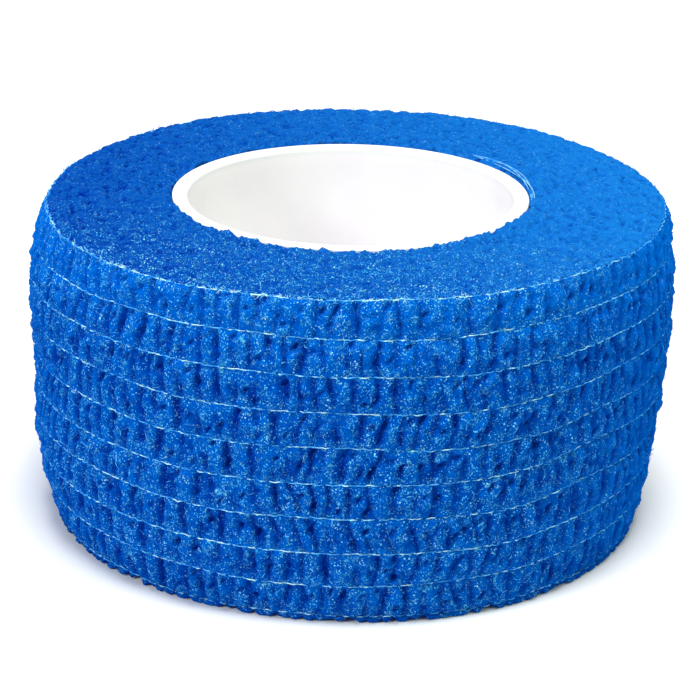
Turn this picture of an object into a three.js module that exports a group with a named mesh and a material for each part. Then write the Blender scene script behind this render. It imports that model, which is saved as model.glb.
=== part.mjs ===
import * as THREE from "three";

// A roll of cohesive crepe bandage on its tube, standing on one end.
// Millimetres, +Z up. The origin is the centre of the end that it stands on.

// Driving dimensions
const clothWidth = 25; // the cut width of the cloth, which is the height of the roll
const clothThickness = 0.35; // one turn, and so the step at the cut outer end
const lowestThread = 0.5; // height of the lowest elastic thread
const threadPitch = 2.7; // from one thread to the next
const tubeInnerRadius = 12.5;
const tubeWall = 1.2;
const tubeRimRadius = 0.3; // the rounding of the tube's two rims
const seat = 0.3; // between the tube and the first turn
const puffRise = 0.42; // how far the cloth puffs out between two threads
const wallEdgeInset = 0.45; // how far the flat ends stop short of the outermost threads
const boreMargin = 1; // what lies within this of the first turn keeps its place

// Steps of the shapes
const rollSteps = 80;
const tubeSteps = 72;
const rimSteps = 2;
const pointsPerBand = 4;
const stepWidth = 0.9; // degrees of the roll over which the outer end steps down
const endAngle = 75; // degrees from +X to the cut outer end, on the far side

// The elastic threads from the lowest up. Each draws the cloth in to its own radius,
// so that the wall is barrel-shaped with its two edges pulled in.
const threads = [
  { radius: 22.85 },
  { radius: 23.65 },
  { radius: 24.2 },
  { radius: 24.4 },
  { radius: 24.5 },
  { radius: 24.55 },
  { radius: 24.6 },
  { radius: 24.6 },
  { radius: 24.25 },
  { radius: 23.8 },
].map((thread, i) => ({ ...thread, height: lowestThread + threadPitch * i }));

// Radii on the upper end, between the first turn and the edge, where the end may rise and fall.
const endRings = [
  { radius: 22, rise: 0.02 },
  { radius: 19.5, rise: 0.1 },
  { radius: 17, rise: 0.04 },
  { radius: 15.2, rise: 0.08 },
];

// The unevenness of the winding, as waves round the roll: how many go round,
// how high each is, and where it starts, in radians.
const wallWaves = [
  { count: 2, height: 0.14, start: 0.6 },
  { count: 5, height: 0.07, start: 2.1 },
];
const threadWaves = [
  { count: 7, height: 0.13, start: 0 },
  { count: 3, height: 0.06, start: 0.9 },
];
const endWaves = [
  { count: 1, height: 0.08, start: 0 },
  { count: 4, height: 0.05, start: 1 },
];

// Places where the threads ride up: in degrees from +X and in height, with how far they rise
// and how far the rise spreads each way.
const threadRises = [
  { angle: -43, height: 10.5, rise: 0.55, degreesEachWay: 11, heightEachWay: 3.2 },
  { angle: 120, height: 15, rise: -0.4, degreesEachWay: 14, heightEachWay: 3.5 },
];

const degrees = Math.PI / 180;
const tubeOuterRadius = tubeInnerRadius + tubeWall;
const firstTurnRadius = tubeOuterRadius + seat;

const crepeCloth = new THREE.MeshStandardMaterial({ color: "#0a5fc4", roughness: 0.95, metalness: 0 });
const whiteTube = new THREE.MeshStandardMaterial({ color: "#f1f1f2", roughness: 0.45, metalness: 0 });

function wallPoints() {
  const points = [];
  for (let i = 0; i < threads.length - 1; i += 1) {
    const lower = threads[i];
    const upper = threads[i + 1];
    for (let step = 0; step < pointsPerBand; step += 1) {
      const share = step / pointsPerBand;
      const puff = puffRise * Math.sqrt(Math.sin(Math.PI * share));
      const radius = THREE.MathUtils.lerp(lower.radius, upper.radius, share) + puff;
      const height = THREE.MathUtils.lerp(lower.height, upper.height, share);
      points.push(new THREE.Vector2(radius, height));
    }
  }
  const top = threads.at(-1);
  points.push(new THREE.Vector2(top.radius, top.height));
  return points;
}

// The section of the wound cloth, anticlockwise from the foot of the first turn.
function rollSection() {
  const foot = threads[0].radius - wallEdgeInset;
  const shoulder = threads.at(-1).radius - wallEdgeInset;
  return [
    new THREE.Vector2(firstTurnRadius, 0),
    new THREE.Vector2(foot, 0),
    ...wallPoints(),
    new THREE.Vector2(shoulder, clothWidth),
    ...endRings.map((ring) => new THREE.Vector2(ring.radius, clothWidth + ring.rise)),
    new THREE.Vector2(firstTurnRadius, clothWidth),
    new THREE.Vector2(firstTurnRadius, 0),
  ];
}

function wave(waves, angle) {
  return waves.reduce((sum, { count, height, start }) => sum + height * Math.sin(count * angle + start), 0);
}

// How far the wall stands out of the section, where the outer turn has gone round this far from 0 to 1.
function wallOffset(angle, turned) {
  return wave(wallWaves, angle) + clothThickness * (turned - 0.5);
}

// How much of a rise is left this far from its middle.
function fading(distance, reach) {
  return Math.exp(-((distance / reach) ** 2));
}

// How far a point of the wall stands above its place in the section. The two edges hold their height.
function wallDrift(angle, height) {
  const held = Math.sin((Math.PI * height) / clothWidth);
  const local = threadRises.map((place) => {
    const round = THREE.MathUtils.euclideanModulo(angle / degrees - place.angle + 180, 360) - 180;
    const left = fading(round, place.degreesEachWay) * fading(height - place.height, place.heightEachWay);
    return place.rise * left;
  });
  return held * local.reduce((sum, rise) => sum + rise, wave(threadWaves, angle));
}

function buildRoll() {
  const section = rollSection();
  const geometry = new THREE.LatheGeometry(section, rollSteps);
  geometry.rotateX(Math.PI / 2);
  const position = geometry.attributes.position;
  const wallTop = threads.at(-1).height;
  for (let index = 0; index < position.count; index += 1) {
    const column = Math.floor(index / section.length) % rollSteps;
    const { x: radius, y: height } = section[index % section.length];
    // The last column stands close to the first, and the step of the outer end is between them.
    const turned = column / (rollSteps - 1);
    const angle = endAngle * degrees + turned * (360 - stepWidth) * degrees;
    const out = radius > firstTurnRadius + boreMargin ? radius + wallOffset(angle, turned) : radius;
    const rise = height >= wallTop ? wave(endWaves, angle) : 0;
    const up = height + rise + wallDrift(angle, height);
    position.setXYZ(index, out * Math.cos(angle), out * Math.sin(angle), up);
  }
  return geometry;
}

// A quarter round at one corner of the tube's section, from one angle to the next.
function rimArc(radius, height, from) {
  const points = [];
  for (let step = 0; step <= rimSteps; step += 1) {
    const angle = (from + (90 * step) / rimSteps) * degrees;
    points.push(new THREE.Vector2(
      radius + tubeRimRadius * Math.cos(angle),
      height + tubeRimRadius * Math.sin(angle),
    ));
  }
  return points;
}

function buildTube() {
  const inner = tubeInnerRadius + tubeRimRadius;
  const outer = tubeOuterRadius - tubeRimRadius;
  const low = tubeRimRadius;
  const high = clothWidth - tubeRimRadius;
  const section = [
    ...rimArc(outer, low, -90),
    ...rimArc(outer, high, 0),
    ...rimArc(inner, high, 90),
    ...rimArc(inner, low, 180),
  ];
  section.push(section[0].clone());
  const geometry = new THREE.LatheGeometry(section, tubeSteps);
  geometry.rotateX(Math.PI / 2);
  return geometry;
}

const bandage = new THREE.Group();

const roll = new THREE.Mesh(buildRoll(), crepeCloth);
roll.name = "bandage_roll";
bandage.add(roll);

const tube = new THREE.Mesh(buildTube(), whiteTube);
tube.name = "core";
bandage.add(tube);

export default bandage;
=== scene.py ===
import math

import bpy
import numpy as np
from mathutils import Matrix, Vector


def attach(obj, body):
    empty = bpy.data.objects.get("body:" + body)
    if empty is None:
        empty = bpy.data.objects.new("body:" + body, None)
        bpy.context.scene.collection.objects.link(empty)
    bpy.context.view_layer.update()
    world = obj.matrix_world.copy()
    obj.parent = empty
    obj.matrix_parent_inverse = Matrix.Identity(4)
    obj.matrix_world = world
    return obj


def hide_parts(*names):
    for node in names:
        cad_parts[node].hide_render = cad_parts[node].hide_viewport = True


# A roll of cohesive crepe bandage on its white tube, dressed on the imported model.
# Shapes are worked out in millimetres, and a mesh is made in metres.

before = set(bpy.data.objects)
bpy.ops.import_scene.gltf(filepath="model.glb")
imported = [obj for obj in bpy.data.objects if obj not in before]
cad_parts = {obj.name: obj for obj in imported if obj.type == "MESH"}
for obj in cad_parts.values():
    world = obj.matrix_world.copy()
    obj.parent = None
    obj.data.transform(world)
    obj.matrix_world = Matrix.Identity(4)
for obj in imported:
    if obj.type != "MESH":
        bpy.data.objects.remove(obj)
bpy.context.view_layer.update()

mm = 0.001
turn = 2 * math.pi

# The wound form, as in the part's source
roll = {
    "clothWidth": 25.0,
    "clothThickness": 0.35,
    "lowestThread": 0.5,
    "threadPitch": 2.7,
    "threadRadii": (22.85, 23.65, 24.2, 24.4, 24.5, 24.55, 24.6, 24.6, 24.25, 23.8),
    "firstTurnRadius": 14.0,
    "boreMargin": 1.0,  # nearer to the first turn than this, the winding stays round
    "puffRise": 0.42,
    "endAngle": math.radians(75),  # the cut outer end, on the far side
    "stepAngle": math.radians(0.35),  # over which it steps down to the turn below
    "endRings": ((22.0, 0.02), (19.5, 0.1), (17.0, 0.04), (15.2, 0.08)),  # radius, rise
    "wallWaves": ((2, 0.14, 0.6), (5, 0.07, 2.1)),  # how many go round, height, start
    "threadWaves": ((7, 0.13, 0.0), (3, 0.06, 0.9)),
    "endWaves": ((1, 0.08, 0.0), (4, 0.05, 1.0)),
    # where the threads ride up: degrees, height, rise, and how far it spreads each way
    "threadRises": ((-43, 10.5, 0.55, 11, 3.2), (120, 15, -0.4, 14, 3.5)),
    # where the winding stands in or out a little: degrees, height, how far out, and its spread each way
    "leans": ((180, 25, -0.6, 38, 2.2), (-52, 0, 0.45, 32, 2.5), (180, 15, -0.4, 45, 8), (0, 7, -0.45, 34, 5)),
    "backRise": 0.26,  # of the upper edge, on the far side
}

skin = {
    "columns": 1100,
    "rowsPerBand": 25,
    "rowsPerEnd": 76,
    "rowsPerRim": 6,
}

meanRadius = 24.4
girth = turn * meanRadius
threadHeights = roll["lowestThread"] + roll["threadPitch"] * np.arange(10)
threadRadii = np.array(roll["threadRadii"])


def wave(waves, angle):
    return sum(height * np.sin(count * angle + start) for count, height, start in waves)


def wallOffset(angle, turned):
    return wave(roll["wallWaves"], angle) + roll["clothThickness"] * (turned - 0.5)


def wallDrift(angle, height):
    rise = wave(roll["threadWaves"], angle)
    for middle, level, most, degreesWide, heightWide in roll["threadRises"]:
        away = (np.degrees(angle) - middle + 180) % 360 - 180
        rise = rise + most * np.exp(-(away / degreesWide) ** 2 - ((height - level) / heightWide) ** 2)
    return rise * np.sin(np.pi * np.clip(height / roll["clothWidth"], 0, 1))


def wallLean(angle, height):
    out = 0
    for middle, level, most, degreesWide, heightWide in roll["leans"]:
        away = (np.degrees(angle) - middle + 180) % 360 - 180
        out = out + most * np.exp(-(away / degreesWide) ** 2 - ((height - level) / heightWide) ** 2)
    return out


def meshObject(name, points, faces, material, body="root"):
    mesh = bpy.data.meshes.new(name)
    points = np.asarray(points, float).reshape(-1, 3) * mm
    faces = np.asarray(faces, np.int32)
    corners = faces.shape[1]
    mesh.vertices.add(len(points))
    mesh.vertices.foreach_set("co", points.astype(np.float32).ravel())
    mesh.loops.add(faces.size)
    mesh.loops.foreach_set("vertex_index", faces.ravel())
    mesh.polygons.add(len(faces))
    mesh.polygons.foreach_set("loop_start", np.arange(0, faces.size, corners, dtype=np.int32))
    mesh.polygons.foreach_set("use_smooth", np.ones(len(faces), bool))
    mesh.update(calc_edges=True)
    mesh.validate()
    mesh.materials.append(material)
    piece = bpy.data.objects.new(name, mesh)
    bpy.context.scene.collection.objects.link(piece)
    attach(piece, body)
    return piece


# Squares between neighbouring rows and columns of a grid, which may close round its columns
def gridFaces(rows, columns, closed=True):
    row = np.arange(rows - 1)[:, None] * columns
    column = np.arange(columns if closed else columns - 1)[None, :]
    after = (column + 1) % columns
    return np.stack([row + column, row + after, row + columns + after, row + columns + column], -1).reshape(-1, 4)


# How far each point of a relief lies below what is round it
def hollowsOf(relief, rowSize, columnSize):
    rows, columns = relief.shape
    padded = np.concatenate([relief, relief[::-1]])
    down = np.fft.fftfreq(2 * rows)[:, None] * rowSize
    across = np.fft.fftfreq(columns)[None, :] * columnSize
    soft = np.fft.ifft2(np.fft.fft2(padded) * np.exp(-2 * np.pi ** 2 * (down ** 2 + across ** 2))).real[:rows]
    return soft - relief


# the hollow attribute darkens the cloth in creases and pits as painted shade, and lightens crests as a painted
# highlight
def markHollows(piece, hollows):
    attribute = piece.data.attributes.new("hollow", "FLOAT", "POINT")
    attribute.data.foreach_set("value", np.asarray(hollows, np.float32).ravel())


# Even noise, blurred to these sizes in steps of the grid, that closes round the columns
def smoothNoise(random, rows, columns, rowSize, columnSize):
    field = random.standard_normal((rows, columns))
    down = np.fft.fftfreq(rows)[:, None] * rowSize
    across = np.fft.fftfreq(columns)[None, :] * columnSize
    field = np.fft.ifft2(np.fft.fft2(field) * np.exp(-2 * np.pi ** 2 * (down ** 2 + across ** 2))).real
    return field / field.std()


# The folds that the threads draw into the cloth
folding = {
    "seed": 11,
    "pitch": 1.38,  # between folds, on average
    "spread": 0.32,
    "least": 0.7,
    "most": 2.3,
    "depth": (0.24, 0.5),
    "fuller": 0.4,  # how much deeper the folds are on one side of the roll
    "fullestAt": math.radians(165),
    "leanAll": 0.12,  # to the right as it goes up
    "lean": 0.2,  # of one fold, over the height of a band
    "leanTogether": 0.28,  # of the folds of one stretch
    "bend": 0.14,
    "broad": 0.46,  # half width of the rounding beside a fold
    "sharp": 0.13,  # half width of the fold's own crease
    "tilt": 0.06,  # of the cloth between two folds, to one side
    "crown": (0.04, 0.15),  # how far it rounds up
    "lip": 0.2,  # how far one side of a fold rises over it
    "pitShare": 0.85,
    "pitSlant": 0.5,
    "pitWidth": (0.15, 0.26),
    "pitHeight": (0.2, 0.4),
    "pitDepth": (0.2, 0.42),
    "lump": 0.045,
    "wrinkle": 0.035,
    "grain": 0.026,
    "slack": 0.05,
}


def drawFolds(random, pitch, spread, least, most):
    gaps = np.clip(random.normal(pitch, spread, round(girth / pitch)), least, most)
    places = np.cumsum(gaps) * girth / gaps.sum()
    count = len(places)
    fullest = np.cos(roll["endAngle"] + turn * places / girth - folding["fullestAt"])
    return {
        "place": places,
        "lean": random.normal(folding["leanAll"], folding["lean"], count)
        + folding["leanTogether"] * smoothNoise(random, 1, count, 0.01, 4)[0],
        "bend": random.uniform(-1, 1, count) * folding["bend"],
        "bendStart": random.uniform(0, 1, count),
        "depth": random.uniform(*folding["depth"], count) * (1 + folding["fuller"] * fullest),
        "side": random.uniform(-1, 1, count),
        "tilt": random.normal(0, folding["tilt"], count),
        "crown": random.uniform(*folding["crown"], count),
        "reach": random.choice([-1, 0, 0, 0, 0, 0, 1, 1], count),  # 0 crosses the whole band
    }


# How far the folds sink the cloth along one row of a band, at a share of the way up the band
def foldRow(folds, arcs, share):
    where = folds["place"] + folds["lean"] * (share - 0.5) + folds["bend"] * np.sin(
        turn * (share * 0.8 + folds["bendStart"]))
    order = np.argsort(where)
    where = where[order]
    kept = 1 / (1 + np.exp(9 * folds["reach"] * (share - 0.5)))
    kept = np.where(folds["reach"] == 0, 1, kept)
    depth = (folds["depth"] * kept)[order] * (0.45 + 0.55 * math.sqrt(math.sin(math.pi * min(max(share, 0.0), 1.0))))
    depth *= 0.72 + 0.5 * share  # deepest under the upper thread
    side = folds["side"][order]
    after = np.searchsorted(where, arcs)
    low = np.clip(after - 1, 0, len(where) - 2)
    across = np.clip(2 * (arcs - where[low]) / (where[low + 1] - where[low] + 0.01) - 1, -1, 1)
    full = math.sqrt(math.sin(math.pi * min(max(share, 0.0), 1.0)))
    sunk = -full * (folds["tilt"][order][low] * across + folds["crown"][order][low] * (1 - across ** 2))
    for neighbour in (-2, -1, 0, 1):
        index = after + neighbour
        real = (index >= 0) & (index < len(where))
        index = np.clip(index, 0, len(where) - 1)
        away = arcs - where[index]
        skew = 1 + 0.5 * side[index] * np.sign(away)
        broad = np.exp(-(away / (folding["broad"] * skew)) ** 2)
        sharp = np.exp(-np.abs(away / (folding["sharp"] * skew)) ** 1.5)
        lip = np.abs(side[index]) * np.exp(-((away + 0.3 * np.sign(side[index])) / 0.16) ** 2)
        sunk += np.where(real, depth[index] * (0.64 * broad + 0.36 * sharp - folding["lip"] * lip), 0)
    return sunk


def addPits(random, relief, folds, arcs, shares, bandHeight):
    places = folds["place"]
    columnWidth = arcs[1] - arcs[0]
    reach = 6
    for low, high in zip(places[:-1], places[1:]):
        if random.random() > folding["pitShare"]:
            continue
        middle = low + (high - low) * random.choice([0.12, 0.5]) + random.normal(0, 0.12)
        level = random.uniform(0.25, 0.9)
        width = random.uniform(*folding["pitWidth"])
        height = random.uniform(*folding["pitHeight"])
        depth = random.uniform(*folding["pitDepth"])
        first = int((middle - width * reach / 2) / columnWidth)
        last = int((middle + width * reach / 2) / columnWidth) + 2
        columns = np.arange(max(first, 0), min(last, len(arcs)))
        up = (shares[:, None] - level) * bandHeight
        across = (arcs[columns][None, :] - middle - folding["pitSlant"] * up) / width
        up = up / height
        relief[:, columns] -= depth * np.exp(-(across ** 2 + up ** 2) ** 1.2)


# The skin's grid: its columns go round from the cut end, and its rows run from the inside of the
# lower end, out and up the wall, and back in over the upper end.
columns = skin["columns"]
turned = np.linspace(0, 1, columns)
angle = roll["endAngle"] + turned * (turn - roll["stepAngle"])
arcs = turned * girth
random = np.random.default_rng(folding["seed"])


def makeWallRows():
    rows = []
    perBand = skin["rowsPerBand"]
    shares = np.arange(perBand) / perBand
    bands = len(threadHeights) - 1
    allRows = perBand * bands + 1
    lumps = smoothNoise(random, allRows, columns, 1.8, 1.35)
    wrinkles = smoothNoise(random, allRows, columns, 2.6, 0.8)
    grain = smoothNoise(random, allRows, columns, 0.45, 0.4)
    slack = smoothNoise(random, allRows, columns, 14, 14)
    for band in range(bands):
        folds = drawFolds(random, folding["pitch"], folding["spread"], folding["least"], folding["most"])
        relief = np.array([-foldRow(folds, arcs, share) for share in shares])
        addPits(random, relief, folds, arcs, shares, roll["threadPitch"])
        puff = roll["puffRise"] * np.sqrt(np.sin(np.pi * shares))
        full = 0.35 + 0.65 * np.sqrt(np.sin(np.pi * shares))[:, None]
        these = slice(band * perBand, (band + 1) * perBand)
        relief += full * (folding["wrinkle"] * wrinkles[these] + folding["slack"] * slack[these]
                          + folding["lump"] * lumps[these])
        relief += folding["grain"] * grain[these]
        # the crests of the folds keep to the wound form, and the rest lies below it
        relief -= np.percentile(relief, 98.5) * np.sqrt(np.sin(np.pi * shares))[:, None]
        radius = threadRadii[band] + (threadRadii[band + 1] - threadRadii[band]) * shares + puff
        height = threadHeights[band] + roll["threadPitch"] * shares
        rows.append((radius, height, relief))
    top = np.array([-foldRow(folds, arcs, 1.0)]) + folding["grain"] * grain[-1:]
    rows.append((threadRadii[-1:], threadHeights[-1:], top))
    radius = np.concatenate([row[0] for row in rows])
    height = np.concatenate([row[1] for row in rows])
    relief = np.concatenate([row[2] for row in rows])
    return radius, height, relief


print("wall")
wallRadius, wallHeight, wallRelief = makeWallRows()
threadRows = np.arange(10) * skin["rowsPerBand"]

# Small unevenness of each thread's own height, carried to the cloth between two threads
jitter = smoothNoise(random, 10, columns, 0.01, 14) * 0.05
rowPlace = np.arange(len(wallHeight)) / skin["rowsPerBand"]
lower = np.minimum(rowPlace.astype(int), 8)
part = (rowPlace - lower)[:, None]
wallJitter = jitter[lower] * (1 - part) + jitter[lower + 1] * part

# The cut end's edge wanders a little from the straight
endWander = smoothNoise(random, len(wallHeight), 4, 5, 0.01)[:, :1] * 0.12 / meanRadius
nearEnd = np.exp(-np.minimum(arcs, girth - arcs) / 1.5)[None, :]
wallAngle = angle[None, :] + endWander * nearEnd
radii = wallRadius[:, None] + wallOffset(angle, turned)[None, :] + wallRelief + wallLean(wallAngle, wallHeight[:, None])
heights = wallHeight[:, None] + wallDrift(wallAngle, wallHeight[:, None]) + wallJitter
topRise = wave(roll["endWaves"], angle) + roll["backRise"] * np.clip(np.sin(angle), 0, 1) ** 2
heights[-1] += topRise


ends = {
    "seed": 5,
    "layer": 0.33,  # from one turn's edge to the next
    "groove": 0.06,
    "edgeHeight": 0.085,
    "mottle": 0.055,
    "grain": 0.045,
    "pit": 0.14,
    "rimPucker": 0.12,
    # where the first turns crowd up against the tube: degrees, rise, spread
    "crowding": ((-38, 0.3, 26), (-140, 0.12, 24)),
    "seatDepth": 3.0,  # how far the first turn is made down the tube
}


def endBase(radius):
    outer = threadRadii[-1] - 0.45
    stops = [(roll["firstTurnRadius"], 0.0), *reversed(roll["endRings"]), (outer, 0.0)]
    return np.interp(radius, [stop[0] for stop in stops], [stop[1] for stop in stops])


def makeUpperEnd():
    own = np.random.default_rng(ends["seed"])
    rim = skin["rowsPerRim"]
    count = skin["rowsPerEnd"]
    # over the rim, from the top thread to the flat of the end
    step = np.arange(rim) / rim
    rimRadius = threadRadii[-1] + 0.1 * np.sin(np.pi * step) - 0.45 * step ** 1.5
    rimHeight = threadHeights[-1] + 0.2 * np.sin(0.5 * np.pi * step)
    flatRadius = np.linspace(threadRadii[-1] - 0.45, roll["firstTurnRadius"], count)
    flatHeight = roll["clothWidth"] + endBase(flatRadius)
    radius = np.concatenate([rimRadius, flatRadius])
    height = np.concatenate([rimHeight, flatHeight])
    rows = len(radius)
    inset = (threadRadii[-1] - 0.45 - radius)[:, None] + ends["layer"] * turned[None, :]
    layerPlace = inset / ends["layer"] + 0.22 * smoothNoise(own, rows, columns, 4, 5)
    layer = np.floor(layerPlace).astype(int)
    along = layerPlace - layer
    edges = smoothNoise(own, 60, columns, 0.01, 1.7)[np.clip(layer, 0, 59), np.arange(columns)[None, :]]
    ridge = np.sqrt(np.clip(1 - (2 * along - 1) ** 2, 0, 1))
    relief = ends["edgeHeight"] * edges * ridge + ends["groove"] * (ridge - 0.8)
    mottle = smoothNoise(own, rows, columns, 3.2, 4)
    relief += ends["mottle"] * mottle
    relief -= ends["pit"] * np.clip(smoothNoise(own, rows, columns, 1.1, 1.3) - 1.0, 0, 1.5)
    relief += ends["grain"] * smoothNoise(own, rows, columns, 0.6, 0.6)
    over = np.clip((inset + 0.1) / 0.5, 0, 1)
    folds = drawFolds(own, 1.2, 0.3, 0.6, 1.9)
    pucker = foldRow(folds, arcs, 0.5)[None, :] * np.exp(-np.clip(inset, 0, None) / 0.5)
    relief = relief * over - pucker * ends["rimPucker"] / 0.3
    nearCore = np.exp(-((radius - roll["firstTurnRadius"]) / 1.1) ** 2)[:, None]
    crowding = sum(most * np.exp(-(((np.degrees(angle) - middle + 180) % 360 - 180) / wide) ** 2)
                   for middle, most, wide in ends["crowding"])
    rise = relief + topRise[None, :] * np.interp(radius, [14.0, 20.0], [0.4, 1])[:, None] + crowding * nearCore
    keep = (radius > roll["firstTurnRadius"] + roll["boreMargin"]).astype(float)
    blend = np.interp(radius, [roll["firstTurnRadius"] + 0.5, roll["firstTurnRadius"] + 2.0], [0, 1])[:, None]
    lean = wallLean(angle, 25.0)[None, :] * np.interp(radius, [17.0, 23.5], [0, 1])[:, None]
    out = radius[:, None] + wallOffset(angle, turned)[None, :] * blend + lean
    # the first rows follow the wall's own relief
    follow = np.clip(1 - np.arange(rows) / rim, 0, 1)[:, None]
    out = out + wallRelief[-1:] * follow
    up = height[:, None] + rise + wallJitter[-1:] * follow
    return out, up, 1.7 * hollowsOf(relief, 5, 7)


print("upper end")
endOut, endUp, endHollow = makeUpperEnd()
endOut[0] = radii[-1]
endUp[0] = heights[-1]


def makeSeat():
    own = np.random.default_rng(ends["seed"] + 1)
    serration = np.clip(1 + 0.5 * smoothNoise(own, 1, columns, 0.01, 3.2), 0.2, 1.3)
    lip = np.array([-0.04, -0.14, -0.4, -ends["seatDepth"]])[:, None]
    inward = np.array([0.16, 0.27, 0.24, 0.0])[:, None]
    return roll["firstTurnRadius"] - inward * np.minimum(serration, 1), endUp[-1:] + lip


seatOut, seatUp = makeSeat()


# Below the lowest thread the cloth's edge hangs in small lobes
def makeLowerEnd():
    own = np.random.default_rng(ends["seed"] + 2)
    lobes = drawFolds(own, 0.95, 0.34, 0.4, 2.1)
    notch = foldRow(lobes, arcs, 0.5) + 0.05 * smoothNoise(own, 1, columns, 0.01, 1.6)[0]
    notch = np.clip(notch / np.percentile(notch, 97), 0, 1)[None, :]
    frayed = np.clip(0.16 * smoothNoise(own, 1, columns, 0.01, 1.2) + 0.2 * smoothNoise(own, 1, columns, 0.01, 9), 0, 0.5)
    step = np.array([1.0, 0.97, 0.85, 0.65, 0.45, 0.2])[:, None]
    out = threadRadii[0] + 0.05 * step + 0.16 * np.sin(np.pi * step) * (1 - notch) - 0.3 * notch * step
    up = roll["lowestThread"] * (1 - step * (1 - np.clip(0.62 * notch + frayed, 0, 0.85)))
    inner = np.array([[roll["firstTurnRadius"]], [16.0], [18.0], [20.0], [21.6], [22.2]])
    innerUp = 0.02 + 0.25 * notch * np.array([[0], [0], [0], [0], [0.1], [0.7]])
    blend = np.interp(inner, [roll["firstTurnRadius"] + 0.5, roll["firstTurnRadius"] + 2.0], [0, 1])
    out = out + wallOffset(angle, turned)[None, :] + wallLean(angle, 0.0)[None, :]
    inner = inner + wallOffset(angle, turned)[None, :] * blend - 0.3 * notch * np.array([[0], [0], [0], [0], [0], [1]])
    out = np.concatenate([inner, out])
    up = np.concatenate([innerUp + 0 * notch, up])
    # set hollow values: painted shade on the lower end's inner rows and in its notches
    hollow = np.concatenate([0.2 + 0 * innerUp, 0.5 * notch * step])
    return out, up, hollow


lowOut, lowUp, lowHollow = makeLowerEnd()
lowOut = np.concatenate([lowOut, radii[:1]])
lowUp = np.concatenate([np.maximum(lowUp, 0), heights[:1]])
lowHollow = np.concatenate([lowHollow, np.clip(-wallRelief[:1], 0, 1)])


def polar(out, around, up):
    around = np.broadcast_to(around, out.shape)
    return np.stack([out * np.cos(around), out * np.sin(around), np.broadcast_to(up, out.shape)], -1)


class Signal:
    # a socket that can be reckoned with
    def __init__(self, shader, socket):
        self.shader = shader
        self.socket = socket

    def maths(self, operation, first, second, clamped=False):
        return self.shader.node("ShaderNodeMath", {"operation": operation, "use_clamp": clamped}, {0: first, 1: second})

    def __add__(self, other):
        return self.maths("ADD", self, other)

    def __sub__(self, other):
        return self.maths("SUBTRACT", self, other)

    def __rsub__(self, other):
        return self.maths("SUBTRACT", other, self)

    def __mul__(self, other):
        return self.maths("MULTIPLY", self, other)

    def __pow__(self, other):
        return self.maths("POWER", self, other)

    __radd__ = __add__
    __rmul__ = __mul__

    def size(self):
        return self.maths("ABSOLUTE", self, 0.0)

    def clamped(self):
        return self.maths("ADD", self, 0.0, True)


class Shader:
    def __init__(self, name):
        self.material = bpy.data.materials.new(name)
        self.material.use_nodes = True
        self.tree = self.material.node_tree
        self.tree.nodes.clear()

    # settings go in first, and then the values or links of the sockets
    def node(self, kind, settings=None, sockets=None, output=0):
        made = self.tree.nodes.new(kind)
        for name, value in (settings or {}).items():
            if name == "stops":
                self.setStops(made.color_ramp, value)
            else:
                setattr(made, name, value)
        for key, value in (sockets or {}).items():
            if isinstance(value, Signal):
                self.tree.links.new(value.socket, made.inputs[key])
            else:
                made.inputs[key].default_value = value
        return Signal(self, made.outputs[output])

    def setStops(self, ramp, stops):
        while len(ramp.elements) > 1:
            ramp.elements.remove(ramp.elements[-1])
        for index, (place, shade) in enumerate(stops):
            element = ramp.elements[0] if index == 0 else ramp.elements.new(place)
            element.position = place
            element.color = shade if isinstance(shade, tuple) else (shade, shade, shade, 1)

    def noise(self, where, scale, detail=2.0, roughness=0.5, distortion=0.0):
        sockets = {"Vector": where, "Scale": scale, "Detail": detail, "Roughness": roughness, "Distortion": distortion}
        return self.node("ShaderNodeTexNoise", {}, sockets)

    # how far a signal has gone from one value to the other, held between 0 and 1
    def between(self, signal, start, end):
        sockets = {"Value": signal, "From Min": start, "From Max": end}
        return self.node("ShaderNodeMapRange", {"clamp": True}, sockets)

    def mix(self, factor, first, second, blend="MIX"):
        return self.node("ShaderNodeMix", {"data_type": "RGBA", "blend_type": blend}, {0: factor, 6: first, 7: second}, 2)

    def finish(self, surface):
        out = self.tree.nodes.new("ShaderNodeOutputMaterial")
        self.tree.links.new(surface.socket, out.inputs["Surface"])
        return self.material


# a colour as a picture editor shows it, made linear
def shade(red, green, blue):
    def linear(value):
        value /= 255
        return value / 12.92 if value <= 0.04045 else ((value + 0.055) / 1.055) ** 2.4
    return (linear(red), linear(green), linear(blue), 1.0)


# deep is the cloth's dark tone, for its dark flecks and for painted shade
cloth = {
    # high is a lit tone of the cloth, mixed in as painted light
    "wall": {
        "base": shade(0, 69, 165), "high": shade(0, 97, 198), "deep": shade(0, 27, 134),
        "pale": shade(82, 194, 255), "glint": shade(160, 232, 255), "frontWeight": 0.1, "shaded": 0.0, "fuzz": 2.2, "flecks": 0.5,
    },
    "end": {
        "base": shade(8, 92, 172), "high": shade(18, 109, 192), "deep": shade(0, 38, 138),
        "pale": shade(82, 194, 255), "glint": shade(160, 232, 255), "frontWeight": 0.12, "shaded": 0.65, "fuzz": 2.2, "flecks": 1.0,
    },
    "roughness": 1.0,
    "specular": 0.0,
    "speckScale": 8800.0,
    "curlScales": (2400.0, 3700.0),
    "bumpDepth": 0.00014,
}


# The side of the roll where fibre specks, glints, dark flecks and the threads' painted shine show most, in a direction,
# and how much is left elsewhere
frontFacing = {
    "towards": (-0.2, -1.0, 0.0),
    "from": 0.007,
    "to": 0.0225,
}


def frontWeight(shader, where, least):
    facing = shader.node("ShaderNodeVectorMath", {"operation": "DOT_PRODUCT"}, {0: where, 1: frontFacing["towards"]}, "Value")
    return least + (1 - least) * shader.between(facing, frontFacing["from"], frontFacing["to"])


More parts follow.
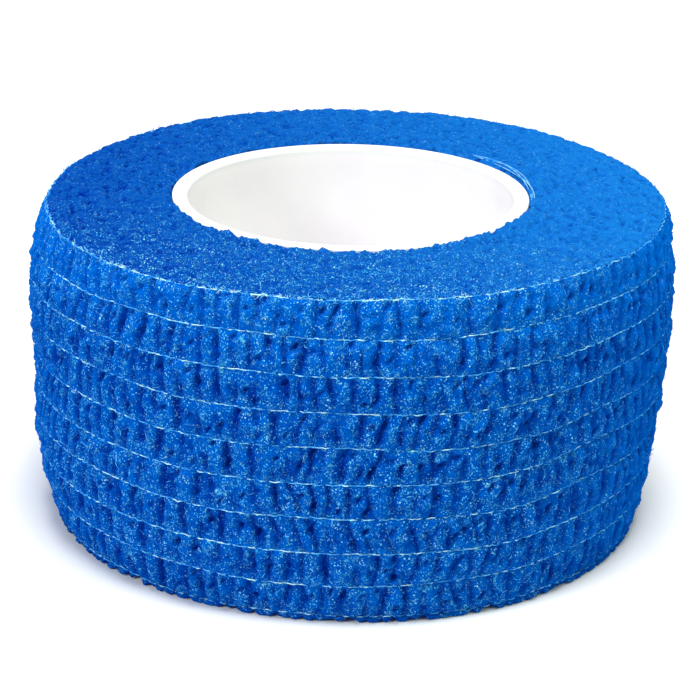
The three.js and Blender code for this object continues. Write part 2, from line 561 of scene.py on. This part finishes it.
def makeCloth(name, colours):
    shader = Shader(name)
    where = shader.node("ShaderNodeTexCoord", {}, {}, "Object")
    hollow = shader.node("ShaderNodeAttribute", {"attribute_name": "hollow"}, {}, "Fac")
    # sunk is a mask of painted shade: how far the cloth is darkened towards deep in its creases and pits
    sunk = shader.between(hollow, -0.02, 0.3)
    crest = shader.between(hollow, 0.06, -0.12)
    drift = shader.noise(where, 120.0, 2.0, 0.5)
    clump = shader.noise(where, 1700.0, 3.0, 0.6)
    grain = shader.noise(where, 8600.0, 2.0, 0.6)
    fine = shader.noise(where, 1.3 * cloth["speckScale"], 1.0, 0.6)
    # each fibre end is a cell of its own brightness, pale as the fibre is and with a painted highlight on it, and the
    # front of the roll shows more of them; the brightest cells are glints, painted highlights
    specks = 0.0
    glints = 0.0
    for scale, least in ((cloth["speckScale"], 0.918), (1.35 * cloth["speckScale"], 0.905)):
        cell = {"Vector": where, "Scale": scale}
        dot = shader.node("ShaderNodeTexVoronoi", {}, cell, "Color")
        spread = shader.node("ShaderNodeTexVoronoi", {}, cell, "Distance")
        luck = shader.node("ShaderNodeSeparateColor", {}, {"Color": dot}, "Red")
        core = shader.between(spread, 0.56, 0.46)
        specks = shader.between(luck, least, least + 0.01) * core + specks
        glints = shader.between(luck, 0.951, 0.956) * shader.between(spread, 0.66, 0.54) + glints
    # and curled fibres lie where a noise crosses its middle value
    curls = 0.0
    for scale in cloth["curlScales"]:
        crossing = (shader.noise(where, scale, 1.0, 0.5, 0.6) - 0.5).size()
        shown = shader.between(shader.noise(where, 0.55 * scale, 1.0, 0.5), 0.5, 0.6)
        curls = shader.between(crossing, 0.026, 0.01) * shown + curls
    frontShare = frontWeight(shader, where, colours["frontWeight"])
    # litFibreShare is painted light: fibre specks and glints show more on crests, which catch the light, and less in
    # shaded hollows
    litFibreShare = (0.3 + 0.7 * crest) * (1 - 0.7 * sunk) * frontShare
    patch = shader.noise(where, 420.0, 2.0, 0.5)
    fuzz = specks * (0.25 + 0.6 * shader.between(patch, 0.42, 0.6)) + curls * shader.between(clump, 0.42, 0.58) * 0.8
    fuzz = fuzz * litFibreShare * colours["fuzz"]
    level = shader.node("ShaderNodeSeparateXYZ", {}, {"Vector": where}, "Z")
    # lit mixes base towards high: a painted highlight on the crests of the folds, random tone from patch and drift, and
    # painted light from upper
    lit = crest * 0.6 + shader.between(patch, 0.4, 0.7) * 0.3 + shader.between(drift, 0.4, 0.65) * 0.15
    # upper is painted light: the wall grows lighter towards its top, and the whole end takes it
    upper = shader.between(level, 0.0195, 0.024)
    lit = lit + upper * 0.75
    ground = shader.mix(lit.clamped(), colours["base"], colours["high"])
    dark = (shader.between(fine, 0.48, 0.38) + shader.between(clump, 0.5, 0.32) * 0.4) * frontShare * colours["flecks"]
    ground = shader.mix(dark.clamped(), ground, colours["deep"])
    # painted shade: on the end, shaded darkens the left side towards deep
    leftward = shader.between(shader.node("ShaderNodeSeparateXYZ", {}, {"Vector": where}, "X"), 0.02, -0.02)
    # painted shade: creases and pits darkened towards deep, a little less on the upper band
    ground = shader.mix((sunk * (0.74 - 0.34 * upper) + colours["shaded"] * leftward).clamped(), ground, colours["deep"])
    # fuzz paints specks and curled fibres pale: their paler fibre colour with a painted highlight on it
    ground = shader.mix(fuzz.clamped(), ground, colours["pale"])
    cluster = shader.between(shader.noise(where, 900.0, 2.0, 0.5), 0.52, 0.6) * 0.86 + 0.14
    ground = shader.mix((glints * litFibreShare * cluster * 1.3).clamped(), ground, colours["glint"])
    relief = grain * 0.7 + fuzz * 0.5 + clump * 0.8
    bump = shader.node("ShaderNodeBump", {}, {"Strength": 1.0, "Distance": cloth["bumpDepth"], "Height": relief})
    surface = shader.node("ShaderNodeBsdfPrincipled", {}, {
        "Base Color": ground,
        "Roughness": cloth["roughness"],
        "Specular IOR Level": cloth["specular"],
        "Normal": bump,
    })
    return shader.finish(surface)


yarn = {
    "base": shade(104, 204, 255),
    "dip": shade(30, 138, 232),
    "shine": shade(196, 246, 255),
    "roughness": 0.7,
}


def makeYarn(name, base, dip, shine):
    shader = Shader(name)
    where = shader.node("ShaderNodeTexCoord", {}, {}, "Object")
    patch = shader.noise(where, 1400.0, 2.0, 0.6)
    fine = shader.noise(where, 14000.0, 1.0, 0.5)
    # the thread darkens towards dip in random patches and away from the front, and takes shine, a painted highlight, on
    # bright patches towards the front
    hidden = shader.between(patch, 0.58, 0.34) + 0.35 * (1 - frontWeight(shader, where, 0.0))
    colour = shader.mix(hidden.clamped(), base, dip)
    bright = shader.between(patch, 0.51, 0.58) * frontWeight(shader, where, 0.0)
    colour = shader.mix(bright, colour, shine)
    bump = shader.node("ShaderNodeBump", {}, {"Strength": 0.6, "Distance": 0.00003, "Height": fine})
    surface = shader.node("ShaderNodeBsdfPrincipled", {}, {
        "Base Color": colour, "Roughness": yarn["roughness"], "Specular IOR Level": 0.1, "Normal": bump})
    return shader.finish(surface)


tube = {
    "seat": 0.3,
    "inner": 12.5,
    "wall": 1.2,
    "columns": 256,
    "colour": shade(250, 246, 249),
    "cloud": shade(247, 243, 247),
    # rim is a painted shade of the white for the tube's top edge
    "rim": shade(236, 237, 238),
}


def makeTubeFinish():
    shader = Shader("white_tube")
    where = shader.node("ShaderNodeTexCoord", {}, {}, "Object")
    cloud = shader.noise(where, 260.0, 3.0, 0.55)
    fine = shader.noise(where, 5200.0, 2.0, 0.5)
    colour = shader.mix(shader.between(cloud, 0.4, 0.66), tube["colour"], tube["cloud"])
    level = shader.node("ShaderNodeSeparateXYZ", {}, {"Vector": where}, "Z")
    # painted shade: the rim's top is set darker, offsetting the overhead lamp's stronger light on it
    colour = shader.mix(shader.between(level, 0.0243, 0.0248), colour, tube["rim"])
    bump = shader.node("ShaderNodeBump", {}, {"Strength": 0.25, "Distance": 0.00003, "Height": fine})
    surface = shader.node("ShaderNodeBsdfPrincipled", {}, {
        "Base Color": colour,
        "Roughness": shader.between(fine, 0.2, 0.8) * 0.12 + 0.36,
        "Specular IOR Level": 0.45,
        "Normal": bump,
    })
    return shader.finish(surface)


wallFinish = makeCloth("crepe_wall", cloth["wall"])
endFinish = makeCloth("crepe_end", cloth["end"])
yarnFinish = makeYarn("elastic_thread", yarn["base"], yarn["dip"], yarn["shine"])
innerFinish = makeYarn("inner_end", shade(140, 198, 242), shade(60, 150, 230), shade(200, 230, 250))
lintFinish = makeYarn("crepe_lint", shade(60, 176, 250), shade(0, 100, 210), shade(120, 216, 255))
tubeFinish = makeTubeFinish()


def skinPiece(name, out, around, up, hollow, finish):
    points = polar(out, around, up)
    piece = meshObject(name, points, gridFaces(*out.shape), finish)
    markHollows(piece, hollow)
    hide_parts("bandage_roll")
    return points


wallHollow = hollowsOf(wallRelief, 7, 5)
wallPoints = polar(radii, wallAngle, heights)
for name, first, last in (("wall_low", 0, 3), ("wall_middle", 3, 6), ("wall_high", 6, 9)):
    rows = slice(threadRows[first], threadRows[last] + 1)
    skinPiece(name, radii[rows], wallAngle[rows], heights[rows], wallHollow[rows], wallFinish)
upperOut = np.concatenate([endOut, seatOut])
upperUp = np.concatenate([endUp, seatUp])
# set hollow values down the seat: painted shade growing darker down beside the tube
upperHollow = np.concatenate([endHollow, np.array([-0.05, 0.0, 0.2, 0.4])[:, None] + 0 * seatOut])
upperAngle = np.broadcast_to(angle[None, :], upperOut.shape).copy()
upperAngle[0] = wallAngle[-1]
upperPoints = skinPiece("upper_end", upperOut, upperAngle, upperUp, upperHollow, endFinish)
lowerAngle = np.broadcast_to(angle[None, :], lowOut.shape).copy()
lowerAngle[-1] = wallAngle[0]
skinPiece("lower_end", lowOut, lowerAngle, lowUp, lowHollow, wallFinish)


# Rings of a strand round each point of its path, closed at both ends
def strandMesh(paths, radiusLists, sides):
    points = []
    faces = []
    base = 0
    turns = turn * np.arange(sides) / sides
    for path, radiusList in zip(paths, radiusLists):
        path = np.asarray(path, float)
        along = np.gradient(path, axis=0)
        along /= np.linalg.norm(along, axis=1, keepdims=True)
        outward = path * (1, 1, 0.0)
        outward /= np.linalg.norm(outward, axis=1, keepdims=True)
        side = np.cross(along, outward)
        side /= np.linalg.norm(side, axis=1, keepdims=True) + 1e-9
        up = np.cross(side, along)
        ring = (np.cos(turns)[None, :, None] * up[:, None, :] + np.sin(turns)[None, :, None] * side[:, None, :])
        rings = path[:, None, :] + ring * np.asarray(radiusList)[:, None, None]
        count = len(path)
        points.append(rings.reshape(-1, 3))
        grid = gridFaces(count, sides) + base
        faces.append(np.concatenate([grid[:, [0, 1, 2]], grid[:, [0, 2, 3]]]))
        for ringStart, order in ((base, 1), (base + (count - 1) * sides, -1)):
            fan = [(ringStart, ringStart + i + 1, ringStart + i) for i in range(1, sides - 1)]
            faces.append(np.array(fan)[:, ::order])
        base += count * sides
    return np.concatenate(points), np.concatenate(faces)


threads = {
    "seed": 21,
    "step": 0.2,
    "radius": 0.043,
    "out": 0.055,
    "sunk": 0.055,
    "shown": (0.35, 1.0),
    "hidden": (0.15, 0.5),
    "sides": 5,
}


def makeThreads():
    own = np.random.default_rng(threads["seed"])
    paths = []
    thicknesses = []
    steps = int(girth / threads["step"])
    at = np.linspace(0.002, 0.998, steps)
    for row in range(10):
        shown = np.zeros(steps)
        place = own.uniform(0, 1)
        while place < girth:
            length = own.uniform(*threads["shown"])
            inside = (at * girth > place) & (at * girth < place + length)
            shown[inside] = np.sin(np.pi * (at[inside] * girth - place) / length) ** 0.35
            place += length + own.uniform(*threads["hidden"])
        around = roll["endAngle"] + at * (turn - roll["stepAngle"])
        level = threadRows[row]
        base = threadRadii[row] + wallOffset(around, at) + wallLean(around, threadHeights[row])
        skinRelief = np.interp(at, turned, wallRelief[level])
        lift = np.where(shown > 0, threads["out"], 0) * shown - threads["sunk"] * (1 - shown)
        out = base + lift + 0.35 * skinRelief
        up = np.interp(at, turned, heights[level]) + own.normal(0, 0.02, steps)
        out = out + own.normal(0, 0.008, steps)
        paths.append(np.stack([out * np.cos(around), out * np.sin(around), up], -1))
        thick = threads["radius"] * (1 + 0.15 * own.standard_normal(steps)).clip(0.7, 1.4)
        thicknesses.append(thick)
    points, faces = strandMesh(paths, thicknesses, threads["sides"])
    piece = meshObject("elastic_threads", points, faces, yarnFinish)
    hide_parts("bandage_roll")


print("threads")
makeThreads()

lint = {
    "seed": 33,
    "wallCount": 5200,
    "endCount": 2200,
    "length": (0.12, 0.45),
    "radius": (0.016, 0.027),
    "lift": 0.07,
}


def gridNormals(points):
    across = np.roll(points, -1, 1) - np.roll(points, 1, 1)
    up = np.gradient(points, axis=0)
    normals = np.cross(across, up)
    return normals / (np.linalg.norm(normals, axis=-1, keepdims=True) + 1e-9)


def makeLint(name, points, count, own):
    normals = gridNormals(points)
    rows, across = points.shape[:2]
    paths = []
    thicknesses = []
    for _ in range(count):
        row = own.integers(2, rows - 2)
        column = own.integers(3, across - 3)
        root = points[row, column]
        normal = normals[row, column]
        sideways = own.standard_normal(3)
        sideways -= normal * np.dot(sideways, normal)
        sideways /= np.linalg.norm(sideways)
        curl = np.cross(normal, sideways) * own.normal(0, 0.35)
        length = own.uniform(*lint["length"])
        lift = abs(own.normal(0, 1)) * lint["lift"]
        share = np.array([0, 0.5, 1.0])[:, None]
        path = root + normal * (lift * np.sin(share * 2.2) + 0.01) + sideways * share * length + curl * length * share ** 2
        paths.append(path)
        thicknesses.append(own.uniform(*lint["radius"]) * np.array([1, 1, 0.4]))
    points, faces = strandMesh(paths, thicknesses, 3)
    piece = meshObject(name, points, faces, lintFinish)
    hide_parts("bandage_roll")


# Fibres that stand along the top thread, thickest at the left of the front
rimFuzz = {
    "seed": 47,
    "count": 1100,
    "length": (0.1, 0.4),
    "radius": (0.016, 0.03),
    "thickAt": math.radians(-125),
}


def makeRimFuzz():
    own = np.random.default_rng(rimFuzz["seed"])
    paths = []
    thicknesses = []
    while len(paths) < rimFuzz["count"]:
        column = own.integers(3, columns - 3)
        if own.random() > 0.12 + 0.88 * math.cos((angle[column] - rimFuzz["thickAt"]) / 2) ** 4:
            continue
        root = wallPoints[-1, column] + own.normal(0, 0.06, 3)
        outward = root * (1, 1, 0)
        outward /= np.linalg.norm(outward)
        along = np.array([-outward[1], outward[0], 0])
        down = own.choice([-1.0, -0.6, 0.3, 0.5])
        way = along * own.normal(0, 0.8) + np.array([0, 0, down]) + outward * own.normal(0.12, 0.12)
        way /= np.linalg.norm(way)
        length = own.uniform(*rimFuzz["length"])
        share = np.array([0, 0.5, 1.0])[:, None]
        path = root + outward * 0.05 + way * share * length + along * own.normal(0, 0.3) * length * share ** 2
        path += outward * (0.3 * length * share * (1 - share))
        paths.append(path)
        thicknesses.append(own.uniform(*rimFuzz["radius"]) * np.array([1, 1, 0.4]))
    points, faces = strandMesh(paths, thicknesses, 3)
    piece = meshObject("rim_fuzz", points, faces, yarnFinish)
    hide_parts("bandage_roll")


makeRimFuzz()
print("lint")
lintRandom = np.random.default_rng(lint["seed"])
makeLint("wall_lint", wallPoints, lint["wallCount"], lintRandom)
makeLint("end_lint", upperPoints[:-4], lint["endCount"], lintRandom)


def makeTube():
    inner = tube["inner"]
    outer = inner + tube["wall"]
    top = roll["clothWidth"]
    corner = 0.28
    outerCorner = 0.12
    arc = np.radians(np.linspace(0, 90, 6))
    profile = []
    # up the outside, over the rim, and down the bore
    profile += [(outer, z) for z in np.linspace(corner, top - outerCorner, 4)]
    profile += [(outer - outerCorner * (1 - math.cos(a)), top - outerCorner * (1 - math.sin(a))) for a in arc[1:]]
    profile += [(inner + 0.62, top - 0.03), (inner + 0.5, top - 0.035)]
    profile += [(inner + corner - corner * math.sin(a), top - corner + corner * math.cos(a)) for a in arc]
    profile += [(inner, z) for z in np.linspace(top - corner, corner, 22)[1:]]
    profile += [(inner + corner - corner * math.cos(a), corner - corner * math.sin(a)) for a in arc[1:]]
    profile += [(outer - corner + corner * math.sin(a), corner - corner * math.cos(a)) for a in arc[:-1]]
    profile = np.array(profile)
    around = turn * np.arange(tube["columns"]) / tube["columns"]
    out = profile[:, :1] + 0.02 * np.sin(2 * around + 0.4)[None, :]
    points = polar(out, around[None, :], profile[:, 1:] + 0 * out)
    faces = gridFaces(len(profile), tube["columns"])
    last = (len(profile) - 1) * tube["columns"]
    column = np.arange(tube["columns"])
    after = (column + 1) % tube["columns"]
    closing = np.stack([last + column, last + after, after, column], -1)
    piece = meshObject("tube", points, np.concatenate([faces, closing]), tubeFinish)
    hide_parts("core")


print("tube")
makeTube()


# The inner end of the web, three strands that stand off the tube
innerEnd = {
    "from": 47,  # degrees
    "to": -4,
    "radii": (14.5, 14.2, 14.0, 13.95),
    "rises": (0.08, 0.26, 0.26, 0.08),
    "strands": 3,
    "radius": 0.05,
    "apart": 0.24,
    "twist": 4,
}


def makeInnerEnd():
    steps = 90
    share = np.linspace(0, 1, steps)
    around = np.radians(innerEnd["from"] + (innerEnd["to"] - innerEnd["from"]) * share)
    stops = np.linspace(0, 1, 4)
    out = np.interp(share, stops, innerEnd["radii"])
    up = roll["clothWidth"] + np.interp(share, stops, innerEnd["rises"])
    paths = []
    for strand in range(innerEnd["strands"]):
        sway = strand * 2.1 + share * innerEnd["twist"]
        r = out + 0.5 * innerEnd["apart"] * np.cos(sway)
        z = up + 0.5 * innerEnd["apart"] * np.sin(1.3 * sway)
        paths.append(np.stack([r * np.cos(around), r * np.sin(around), z], -1))
    points, faces = strandMesh(paths, [np.full(steps, innerEnd["radius"])] * innerEnd["strands"], 6)
    piece = meshObject("inner_end", points, faces, innerFinish)
    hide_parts("bandage_roll")


makeInnerEnd()


studio = {
    "floorSize": 3.0,
    "floor": shade(238, 238, 238),
    "world": shade(250, 253, 254),
    "worldStrength": 0.235,
    "lamps": {
        "overhead": {"place": (0.03, -0.12, 0.9), "size": 0.4, "watts": 9.2, "colour": (0.96, 0.97, 0.99)},
        "left": {"place": (-0.3, -0.22, 0.24), "size": 0.16, "watts": 1.09, "colour": (0.92, 0.98, 0.98)},
        "right": {"place": (0.32, -0.12, 0.24), "size": 0.2, "watts": 0.52, "colour": (0.84, 1.0, 0.68)},
    },
    "focal": 121.97,
    "distance": 0.18689,
    "elevation": math.radians(20.975),
    "roll": math.radians(1.177),
    "aim": (0.000184, 0.0, 0.0125 - 0.000412),
}


def makeFloor():
    half = studio["floorSize"] / 2
    mesh = bpy.data.meshes.new("floor")
    corners = [(-half, -half, 0), (half, -half, 0), (half, half, 0), (-half, half, 0)]
    mesh.from_pydata(corners, [], [(0, 1, 2, 3)])
    floor = bpy.data.objects.new("floor", mesh)
    bpy.context.scene.collection.objects.link(floor)
    shader = Shader("floor_paper")
    where = shader.node("ShaderNodeTexCoord", {}, {}, "Object")
    tone = shader.noise(where, 30.0, 2.0, 0.5)
    colour = shader.mix(tone, studio["floor"], shade(235, 235, 235))
    surface = shader.node("ShaderNodeBsdfPrincipled", {}, {
        "Base Color": colour, "Roughness": 1.0, "Specular IOR Level": 0.0})
    mesh.materials.append(shader.finish(surface))


def makeLight(name, settings):
    data = bpy.data.lights.new(name, "AREA")
    data.shape = "DISK"
    data.size = settings["size"]
    data.energy = settings["watts"]
    data.color = settings["colour"]
    lamp = bpy.data.objects.new(name, data)
    lamp.location = settings["place"]
    away = Vector(settings["place"]) - Vector((0, 0, 0.0125))
    lamp.rotation_euler = away.to_track_quat("Z", "Y").to_euler()
    bpy.context.scene.collection.objects.link(lamp)


def makeCamera():
    data = bpy.data.cameras.new("camera")
    data.lens = studio["focal"]
    data.sensor_width = 36
    data.clip_start = 0.01
    data.clip_end = 10
    camera = bpy.data.objects.new("camera", data)
    aim = Vector(studio["aim"])
    back = Vector((0, -math.cos(studio["elevation"]), math.sin(studio["elevation"])))
    facing = back.to_track_quat("Z", "Y").to_matrix().to_4x4()
    camera.matrix_world = Matrix.Translation(aim + back * studio["distance"]) @ facing @ Matrix.Rotation(
        studio["roll"], 4, "Z")
    bpy.context.scene.collection.objects.link(camera)
    bpy.context.scene.camera = camera


def makeWorld():
    world = bpy.data.worlds.new("studio")
    world.use_nodes = True
    background = world.node_tree.nodes["Background"]
    background.inputs["Color"].default_value = studio["world"]
    background.inputs["Strength"].default_value = studio["worldStrength"]
    bpy.context.scene.world = world
    bpy.context.scene.view_settings.view_transform = "Standard"


print("studio")
makeFloor()
for name, settings in studio["lamps"].items():
    makeLight(name, settings)
makeCamera()
makeWorld()
